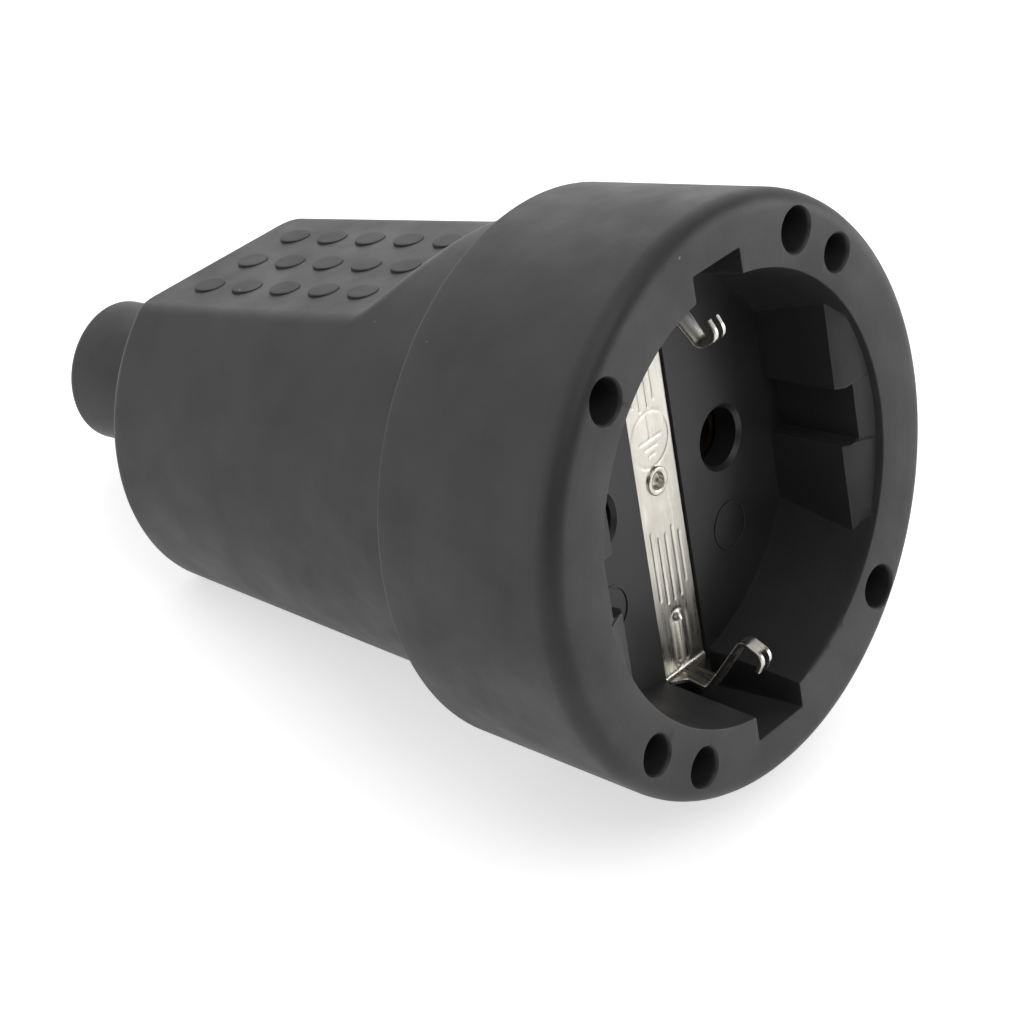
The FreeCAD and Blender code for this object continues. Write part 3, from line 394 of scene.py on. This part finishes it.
def photo_camera():
    """The camera fitted to the photo."""
    camera = bpy.data.cameras.new("camera")
    camera.lens, camera.sensor_width = LENS_MM, SENSOR_MM
    camera.clip_start = 0.01
    item = bpy.data.objects.new("camera", camera)
    back = -row_way(*CAMERA_VIEW)
    up = row_way(*CAMERA_UP)
    right = up.cross(back).normalized()
    up = back.cross(right).normalized()
    turn = Matrix((right, up, back)).transposed().to_4x4()
    item.matrix_world = Matrix.Translation(row_point(*CAMERA_PLACE_MM)) @ turn
    bpy.context.scene.collection.objects.link(item)
    bpy.context.scene.camera = item


# Shapes

class Shell:
    """Points in the connector's axes, in mm, and the faces of one closed surface."""

    def __init__(self):
        self.points = []
        self.faces = []

    def loop(self, places):
        first = len(self.points)
        self.points.extend(tuple(float(v) for v in place) for place in places)
        return list(range(first, len(self.points)))

    def band(self, first, second):
        """Four-sided faces between two loops with the same number of points."""
        after = first[1:] + first[:1], second[1:] + second[:1]
        self.faces.extend(zip(first, second, after[1], after[0]))

    def bands(self, loops):
        for first, second in zip(loops, loops[1:]):
            self.band(first, second)

    def zip_round(self, first, second):
        """Triangles between two loops with different numbers of points, by angle."""
        turns = [self.turns(first), self.turns(second)]
        i = j = 0
        while i < len(first) or j < len(second):
            a, b = first[i % len(first)], second[j % len(second)]
            if turns[0][i + 1] <= turns[1][j + 1]:
                i += 1
                self.faces.append((a, b, first[i % len(first)]))
            else:
                j += 1
                self.faces.append((a, b, second[j % len(second)]))

    def turns(self, loop):
        """Angles of a loop's points, then its first a turn on, then one past all others."""
        angles = [(math.atan2(self.points[i][1], self.points[i][0]) + 1e-6) % math.tau
                  for i in loop]
        return angles + [math.tau + angles[0], math.tau + 9]

    def close(self, loop):
        """Triangles from a loop to a point at its middle."""
        middle = [sum(self.points[i][axis] for i in loop) / len(loop) for axis in range(3)]
        hub = self.loop([middle])[0]
        self.faces.extend((a, b, hub) for a, b in zip(loop, loop[1:] + loop[:1]))

    def build(self, name):
        mesh = bpy.data.meshes.new(name)
        mesh.from_pydata([row_point(*place) for place in self.points], [], self.faces)
        tidy_normals(mesh)
        item = bpy.data.objects.new(name, mesh)
        bpy.context.scene.collection.objects.link(item)
        return item


def tidy_normals(mesh):
    """Drops carried normals, joins double points and turns all faces outwards."""
    carried = mesh.attributes.get("custom_normal")
    if carried:
        mesh.attributes.remove(carried)
    work = bmesh.new()
    work.from_mesh(mesh)
    bmesh.ops.remove_doubles(work, verts=work.verts, dist=WELD_M)
    bmesh.ops.recalc_face_normals(work, faces=work.faces)
    work.to_mesh(mesh)
    work.free()


def boolean(item, tool, operation):
    """Joins a tool to a mesh or cuts it out, and removes the tool."""
    step = item.modifiers.new(operation, "BOOLEAN")
    step.operation, step.object, step.solver = operation, tool, "EXACT"
    bpy.context.view_layer.update()
    shape = item.evaluated_get(bpy.context.evaluated_depsgraph_get())
    result = bpy.data.meshes.new_from_object(shape)
    item.modifiers.clear()
    item.data = result
    bpy.data.objects.remove(tool)


def smooth(item, degrees=30):
    """Smooth shading, with edges sharper than this angle kept."""
    item.data.shade_smooth()
    item.data.set_sharp_from_angle(angle=math.radians(degrees))


def rounded(corners, step):
    """A line through corners (a, b, radius), with arcs at them, as a list of points."""
    ends = [Vector(corners[0][:2])]
    line = []
    for before, corner, after in zip(corners, corners[1:], corners[2:]):
        place = Vector(corner[:2])
        back = (Vector(before[:2]) - place).normalized()
        ahead = (Vector(after[:2]) - place).normalized()
        half = back.angle(ahead) / 2
        if corner[2] == 0:
            line += run(ends[-1], place, step)
            ends.append(place)
            continue
        setback = corner[2] / math.tan(half)
        middle = place + (back + ahead).normalized() * (corner[2] / math.sin(half))
        start, end = place + back * setback, place + ahead * setback
        line += run(ends[-1], start, step)
        sweep = math.pi - 2 * half
        first, last = start - middle, end - middle
        side = 1 if first.x * last.y - first.y * last.x > 0 else -1
        count = max(2, round(sweep / ARC_STEP))
        for index in range(count):
            turn = Matrix.Rotation(side * sweep * index / count, 2)
            line.append(middle + turn @ (start - middle))
        ends.append(end)
    return line + run(ends[-1], Vector(corners[-1][:2]), step) + [Vector(corners[-1][:2])]


def run(start, end, step):
    """Points from start up to end, without it, at most a step apart."""
    count = max(1, math.ceil((end - start).length / step))
    return [start.lerp(end, index / count) for index in range(count)]


def spread(sides):
    """Angles evenly round a full turn."""
    return [math.tau * index / sides for index in range(sides)]


def ring(radius, z, angles):
    return [(radius * math.cos(a), radius * math.sin(a), z) for a in angles]


def turned(name, corners, sides, step, x=0.0, y=0.0):
    """A closed turned form about an axis along Z, from its section's corners (r, z, round)."""
    shell = Shell()
    angles = spread(sides)
    closed = corners[0] == corners[-1]
    line = rounded(corners, step)[:-1] if closed else rounded(corners, step)
    loops = [shell.loop([(px + x, py + y, pz) for px, py, pz in ring(r, z, angles)])
             for r, z in line]
    shell.bands(loops)
    if closed:
        shell.band(loops[-1], loops[0])
    else:
        shell.close(loops[0])
        shell.close(loops[-1])
    return shell.build(name)


# The rubber cover: outside

def column_angles():
    """Angles of the outer columns, close together where the grip's flats are."""
    quarter = list(np.linspace(0, FLAT_FROM, SIDE_COLUMNS, endpoint=False))
    quarter += list(np.linspace(FLAT_FROM, math.pi / 2, FLAT_COLUMNS, endpoint=False))
    half = quarter + [math.pi - a for a in [math.pi / 2] + quarter[:0:-1]]
    return half + [a + math.pi for a in half]


def soft_max(a, b, reach):
    """The larger of two values, blended over a reach where they are close."""
    near = np.maximum(reach - np.abs(a - b), 0)
    return np.maximum(a, b) + near * near / (4 * reach)


def flat_height(z):
    """Height of the grip's flats above the axis, with the ramp at their front end."""
    flat = FLAT_FRONT_HEIGHT + (z - FLAT_FOOT_Z) * FLAT_TAPER
    ramp = FLAT_FRONT_HEIGHT + (z - FLAT_FOOT_Z)
    return soft_max(flat, ramp, VALLEY_BLEND)


def flattened(radius, z, angles):
    """Radii of a ring on the grip, where it is cut off by the flats."""
    rise = np.abs(np.sin(angles))
    share = min(max((z - FLAT_FOOT_Z) / BLEND_CHANGE, 0), 1)
    blend = EDGE_BLEND + (CREST_BLEND - EDGE_BLEND) * share
    low, high = np.zeros_like(rise), np.full_like(rise, radius + 0.1)
    for _ in range(HALVINGS):
        middle = (low + high) / 2
        outside = soft_max(middle - radius, middle * rise - flat_height(z), blend) > 0
        high = np.where(outside, middle, high)
        low = np.where(outside, low, middle)
    return low


def cover_outside_loops(shell):
    """Rings from the rim over the barrel, its rear face, the grip and the gland."""
    angles = np.array(column_angles())
    barrel = rounded([(RIM_INNER, 0, 0), (BARREL_FRONT_R, 0, FRONT_ROUND),
                      (BARREL_REAR_R, BARREL_REAR_Z, REAR_ROUND),
                      (GRIP_FRONT_R, BARREL_REAR_Z, NECK_ROUND),
                      (grip_radius(CONE_START_Z), CONE_START_Z, 0)], BARREL_STEP)
    loops = [shell.loop(ring(r, z, angles)) for r, z in barrel]
    for z in grip_levels():
        radii = flattened(grip_radius(z), z, angles)
        loops.append(shell.loop(places(radii, z, angles)))
    tail_z = GRIP_REAR_Z + 2
    tail = rounded([(grip_radius(tail_z), tail_z, 0), (GRIP_REAR_R, GRIP_REAR_Z, GRIP_ROUND),
                    (GLAND_R, GRIP_REAR_Z, 0)], UNDIVIDED)
    for r, z in tail[1:-1]:
        edge = flattened(r, z, angles)
        loops.append(shell.loop(places(edge, z, angles)))
    for share in REAR_FACE_SHARES:
        radii = GLAND_R + GLAND_FOOT + (edge - GLAND_R - GLAND_FOOT) * share
        loops.append(shell.loop(places(radii, GRIP_REAR_Z, angles)))
    gland = rounded([(GLAND_R + GLAND_FOOT, GRIP_REAR_Z, 0),
                     (GLAND_R, GRIP_REAR_Z, GLAND_FOOT * 0.9),
                     (GLAND_R, COVER_REAR_Z, GLAND_ROUND),
                     (GLAND_BORE_R + GLAND_FACE, COVER_REAR_Z, 0)], GLAND_STEP)
    loops += [shell.loop(ring(r, z, angles)) for r, z in gland]
    shell.bands(loops)
    return loops[0], loops[-1]


def places(radii, z, angles):
    """Points of a ring whose radius differs round it."""
    return [(r * math.cos(a), r * math.sin(a), z) for r, a in zip(radii, angles)]


def grip_radius(z):
    """Radius of the grip's cone, before the flats."""
    return GRIP_FRONT_R + (z - BARREL_REAR_Z) * GRIP_TAPER


def grip_levels():
    """Where the grip has rings: few along the flats, many over their front ramp."""
    front = np.linspace(CONE_START_Z - 1, RAMP_TOP_Z, 5)
    ramp = np.arange(RAMP_TOP_Z - RAMP_STEP, FLAT_FOOT_Z - 1, -RAMP_STEP)
    rear = np.linspace(FLAT_FOOT_Z - 1.2, GRIP_REAR_Z + GRIP_ROUND + 0.05, 20)
    return [*front, *ramp, *rear]


# The rubber cover: recess and inside

def eased(start, end, count):
    """Points from start up to end, without it, closer together at both ends."""
    start, end = np.array(start), np.array(end)
    shares = (1 - np.cos(np.pi * np.arange(count) / count)) / 2
    return [tuple(start + (end - start) * share) for share in shares]


def rib_face(z):
    """How far from the axis a guide rib's face is, with its bevel near the rim."""
    return RIB_X + min(max(z - RIB_SHOULDER_Z, 0), RIB_BEVEL)


def recess_outline(z, grow=0.0, ribs=True):
    """The recess seen from the front at a depth z, as a closed loop of points."""
    wall = RECESS_RIM_R + RECESS_FLARE * z + grow
    rib, slot, reach = rib_face(z), SLOT_HALF + grow, SLOT_REACH + grow
    top = math.sqrt(wall * wall - rib * rib)
    first = eased((GROOVE_X, 0), (GROOVE_X, GROOVE_HALF), 6)
    first += eased((GROOVE_X, GROOVE_HALF), (rib, GROOVE_HALF), 7)
    first += eased((rib, GROOVE_HALF), (rib, top), 16)
    if not ribs:
        first = [(x * wall / math.hypot(x, y), y * wall / math.hypot(x, y))
                 for x, y in first]
    turn = eased((math.atan2(top, rib),), (math.acos(slot / wall),), 56)
    first += [(wall * math.cos(a), wall * math.sin(a)) for (a,) in turn]
    first += eased((slot, math.sqrt(wall * wall - slot * slot)), (slot, reach), 8)
    first += eased((slot, reach), (0, reach), 8) + [(0, reach)]
    half = first + [(-x, y) for x, y in first[-2::-1]]
    loop = np.array(half + [(-x, -y) for x, y in half[1:-1]])
    for _ in range(CORNER_PASSES):
        loop = (np.roll(loop, 1, 0) + 2 * loop + np.roll(loop, -1, 0)) / 4
    return loop


def mouth_width(angles):
    """Width of the rounded recess edge, wider where it was trimmed."""
    width = np.full(len(angles), MOUTH_ROUND)
    for middle, half, extra in MOUTH_TRIMS:
        inside = np.clip((half - np.abs(np.degrees(angles) - middle)) / TRIM_EDGE, 0, 1)
        width += extra * inside
    return width


def cover_inside_loops(shell):
    """Rings from the recess's edge down its wall, through the seat and out of the gland."""
    loops = []
    first = recess_outline(0, ribs=False)
    turns = np.arctan2(first[:, 1], first[:, 0])
    out = first / np.linalg.norm(first, axis=1)[:, None]
    width = mouth_width(turns)
    for step in range(MOUTH_STEPS + 1):
        angle = math.pi / 2 * step / MOUTH_STEPS
        base = recess_outline(0, ribs=False) + out * (width * (1 - math.sin(angle)))[:, None]
        sink = -MOUTH_DEPTH * (1 - math.cos(angle))
        loops.append(shell.loop([(x, y, sink) for x, y in base]))
    for z, ribs in RECESS_LEVELS:
        loops.append(shell.loop([(x, y, z) for x, y in recess_outline(z, ribs=ribs)]))
    turns = [math.atan2(y, x) for x, y, _ in (shell.points[i] for i in loops[-1])]
    for radius, z, flat in INSIDE_SECTION:
        rise = np.abs(np.sin(turns)) + 1e-9
        limit = inside_flat(z) / rise if flat else math.inf
        radii = np.minimum(np.full(len(turns), radius), limit)
        loops.append(shell.loop(places(radii, z, turns)))
    shell.bands(loops)
    return loops[0], loops[-1]


def inside_flat(z):
    """Height above the axis of the cover's inner face under the flats."""
    return FLAT_FRONT_HEIGHT - COVER_WALL + (z - FLAT_FOOT_Z) * FLAT_TAPER


def rubber_cover():
    shell = Shell()
    rim_outer, gland_outer = cover_outside_loops(shell)
    rim_inner, gland_inner = cover_inside_loops(shell)
    shell.zip_round(rim_inner, rim_outer)
    shell.zip_round(gland_inner, gland_outer)
    cover = shell.build("rubber_cover_moulding")
    boolean(cover, grip_dots(), "UNION")
    boolean(cover, rim_holes(), "DIFFERENCE")
    paint_dot_shade(cover)
    smooth(cover, 32)
    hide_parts("rubber_cover")
    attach(cover, "root")
    return cover


def grip_dots():
    """Thirty low discs parallel to the axis, with their feet sunk in the flats."""
    shell = Shell()
    section = rounded([(DOT_HUB, DOT_ROOT, 0), (DOT_R, DOT_ROOT, 0),
                       (DOT_R, -DOT_RISE, DOT_ROUND), (DOT_HUB, -DOT_RISE, 0)], DOT_STEP)
    for side in (1, -1):
        for column in range(DOTS_ALONG):
            for row in (-1, 0, 1):
                z = GRIP_REAR_Z + DOT_MARGIN + column * DOT_PITCH_ALONG
                top = FLAT_FRONT_HEIGHT + (z - FLAT_FOOT_Z) * FLAT_TAPER
                loops = [shell.loop([(row * DOT_PITCH_ACROSS + r * math.cos(a),
                                      side * (top - sink), z + r * math.sin(a))
                                     for a in spread(DOT_SIDES)])
                         for r, sink in section]
                shell.bands(loops)
                shell.close(loops[0])
                shell.close(loops[-1])
    return shell.build("dots")


def paint_dot_shade(cover):
    """Marks the dots' tops, where painted shade makes them darker than the rubber around them.
    """
    mark = cover.data.attributes.new("dot_top_painted_shade", "FLOAT", "POINT")
    back = TO_ROW.inverted()
    values = []
    for vertex in cover.data.vertices:
        x, y, z = (back @ vertex.co) / MM
        step = (z - GRIP_REAR_Z - DOT_MARGIN) / DOT_PITCH_ALONG
        along = (step - min(max(round(step), 0), DOTS_ALONG - 1)) * DOT_PITCH_ALONG
        across = x - max(-1, min(1, round(x / DOT_PITCH_ACROSS))) * DOT_PITCH_ACROSS
        above = abs(y) - FLAT_FRONT_HEIGHT - (z - FLAT_FOOT_Z) * FLAT_TAPER
        on_top = math.hypot(along, across) < DOT_R + 0.02 and above > 0.03 and z < FLAT_FOOT_Z
        values.append(1.0 if on_top else 0.0)
    mark.data.foreach_set("value", values)


def rim_holes():
    """Blind holes with softened mouths; each is a little out of round."""
    shell = Shell()
    for index, (angle, diameter, circle) in enumerate(RIM_HOLES):
        x = circle / 2 * math.cos(math.radians(angle))
        y = circle / 2 * math.sin(math.radians(angle))
        section = [(diameter / 2 + flare, z) for flare, z in HOLE_SECTION]
        loops = []
        for radius, z in section:
            loops.append(shell.loop([
                (x + radius * wobble(a, index) * math.cos(a),
                 y + radius * wobble(a, index) * math.sin(a), z)
                for a in spread(HOLE_SIDES)]))
        shell.bands(loops)
        shell.close(loops[0])
        shell.close(loops[-1])
    return shell.build("holes")


def wobble(angle, index):
    """How far out of round a rim hole is at an angle, as a factor of its radius."""
    return (1 + OVAL * math.sin(2 * angle + 1.7 * index)
            + THREE_SIDED * math.sin(3 * angle + index))


# The earth strap and its rivet

def strap_line():
    """The strap's middle line from one tongue's tip to the other's, as (y, z)."""
    half = STRAP_BENDS + [(STRAP_END_Y, STRAP_MIDDLE_Z, STRAP_BEND)]
    corners = [(-y, z, r) for y, z, r in half] + half[::-1]
    return rounded(corners, STRAP_STEP)


def strap_width(z):
    """Full width on the faceplate, and narrow in the tongues beyond the shoulders."""
    rise = z - (STRAP_TOP_Z + SHOULDER_RISE)
    share = min(max(0.5 + rise / SHOULDER_BLEND, 0), 1)
    share = share * share * (3 - 2 * share)
    low, high = TONGUE_TAPER_Z
    thin = min(max((z - low) / (high - low), 0), 1) if share == 1 else 0
    tongue = TONGUE_WIDTH + (TONGUE_TIP_WIDTH - TONGUE_WIDTH) * thin
    return STRAP_WIDTH + (tongue - STRAP_WIDTH) * share


def stroke(distance, width):
    """How deep a scribed line of this width is, from 1 at its middle to 0."""
    return max(0.0, 1 - (distance / width) ** 2) if abs(distance) < width else 0.0


def strap_relief(x, y):
    """Height of the strap's face above its plain level: grooves, ring, sign and bead."""
    height = 0.0
    for line in STRAP_GROOVES:
        if line[1] < y < line[2]:
            height -= GROOVE_DEPTH * stroke(x - line[0], GROOVE_LINE)
    far = math.hypot(x - SIGN_X, y - SIGN_Y)
    height -= SIGN_DEPTH * stroke(far - SIGN_RADIUS, RING_LINE)
    for low, high, centre, along in SIGN_STROKES:
        u, v = (x - SIGN_X, y - SIGN_Y) if along == "x" else (y - SIGN_Y, x - SIGN_X)
        if low < u < high:
            height -= SIGN_DEPTH * stroke(v - centre, SIGN_LINE)
    for side in (-1, 1):
        along = side * y
        near = min(max(along, BEAD_LOW), BEAD_HIGH)
        out = math.hypot(x, along - near) / BEAD_HALF
        if out < 1:
            height += BEAD_HEIGHT * (1 - out * out) ** 1.2
        elif out < 1.5:
            height -= BEAD_MOAT * math.sin((out - 1) * math.tau)
    return height


def earth_strap():
    """The bent strip as one skin, its upper face finely divided for the pressed marks."""
    shell = Shell()
    line = strap_line()
    columns = np.linspace(-1, 1, STRAP_COLUMNS)
    loops = []
    for index, place in enumerate(line):
        ahead = line[min(index + 1, len(line) - 1)] - line[max(index - 1, 0)]
        up = Vector((-ahead.y, ahead.x)).normalized()
        half = strap_width(place.y) / 2
        flat = abs(place.y - STRAP_MIDDLE_Z) < 0.01
        loop = []
        for share in columns:
            x = share * half
            edge = EDGE_SOFT * max(0.0, (abs(share) * half - half + EDGE_SOFT) / EDGE_SOFT) ** 2
            rise = STRAP_HALF - edge + (strap_relief(x, place.x) if flat else 0.0)
            loop.append((x, place.x + up.x * rise, place.y + up.y * rise))
        for share in (1, 0.4, -0.4, -1):
            x, rise = share * half, STRAP_HALF - (EDGE_SOFT if abs(share) == 1 else 0)
            loop.append((x, place.x - up.x * rise, place.y - up.y * rise))
        loops.append(shell.loop(loop))
    shell.bands(loops)
    shell.close(loops[0])
    shell.close(loops[-1])
    strap = shell.build("earth_strap_pressing")
    boolean(strap, strap_cutters(), "DIFFERENCE")
    smooth(strap, 35)
    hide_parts("earth_strap")
    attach(strap, "root")
    return strap


def strap_cutters():
    """The slots that split the tongues' ends, and the rivet's hole."""
    shell = Shell()
    for side in (-1, 1):
        corners = [(FORK_LOW, FORK_DEEP), (FORK_HIGH, FORK_DEEP), (FORK_HIGH, FORK_OUT),
                   (FORK_LOW, FORK_OUT)]
        loops = [shell.loop([(x, side * y, z) for y, z in corners])
                 for x in (-FORK_HALF, FORK_HALF)]
        shell.bands(loops)
        shell.close(loops[0])
        shell.close(loops[1])
    loops = [shell.loop(ring(RIVET_R, z, spread(RIVET_HOLE_SIDES)))
             for z in (STRAP_TOP_Z - 1.5, STRAP_TOP_Z + 1)]
    shell.bands(loops)
    shell.close(loops[0])
    shell.close(loops[1])
    return shell.build("cutters")


def earth_rivet():
    """A hollow rivet with a rolled head and a dished end."""
    section = [(0.1, RIVET_DISH_Z, 0), (RIVET_BORE_R, RIVET_DISH_Z + 0.06, 0.05),
               (RIVET_BORE_R + 0.06, RIVET_TOP_Z - 0.06, 0.04),
               (RIVET_BORE_R + 0.24, RIVET_TOP_Z, 0.12), (RIVET_FLANGE_R, RIVET_TOP_Z, 0.14),
               (RIVET_FLANGE_R, STRAP_TOP_Z, 0.02), (RIVET_R, STRAP_TOP_Z, 0.02),
               (RIVET_R, RIVET_REAR_Z + 0.3, 0.02), (RIVET_FLANGE_R, RIVET_REAR_Z + 0.3, 0.02),
               (RIVET_FLANGE_R, RIVET_REAR_Z, 0.1), (0.1, RIVET_REAR_Z, 0)]
    rivet = turned("earth_rivet_rolled", section, RIVET_SIDES, 0.4)
    smooth(rivet, 40)
    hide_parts("earth_rivet")
    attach(rivet, "root")
    return rivet


# The faceplate

def faceplate():
    """The CAD node's own mesh with two raised rings joined to it."""
    plate = NODES["socket_faceplate"].copy()
    plate.data = plate.data.copy()
    plate.name = "faceplate_moulding"
    bpy.context.scene.collection.objects.link(plate)
    tidy_normals(plate.data)
    for x in (-RING_X, RING_X):
        inner, outer, root = RING_R - RING_HALF, RING_R + RING_HALF, PLATE_Z - 0.3
        section = [(inner, root, 0), (inner, PLATE_Z + RING_RISE, 0.05),
                   (outer, PLATE_Z + RING_RISE, 0.05), (outer, root, 0), (inner, root, 0)]
        tool = turned("ring", section, 64, 0.5, x, RING_Y)
        boolean(plate, tool, "UNION")
    smooth(plate)
    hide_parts("socket_faceplate")
    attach(plate, "root")
    return plate


finishes = dress_nodes()
cover, strap, rivet, plate = rubber_cover(), earth_strap(), earth_rivet(), faceplate()
for item, finish in ((cover, "black_rubber"), (strap, "earth_steel"), (rivet, "earth_steel"),
                     (plate, "dark_plastic")):
    item.data.materials.clear()
    item.data.materials.append(finishes[finish])
for node in NODES.values():
    smooth(node)
white_floor()
soft_sky()
studio_lights()
photo_camera()
bpy.context.scene.view_settings.view_transform = "Standard"
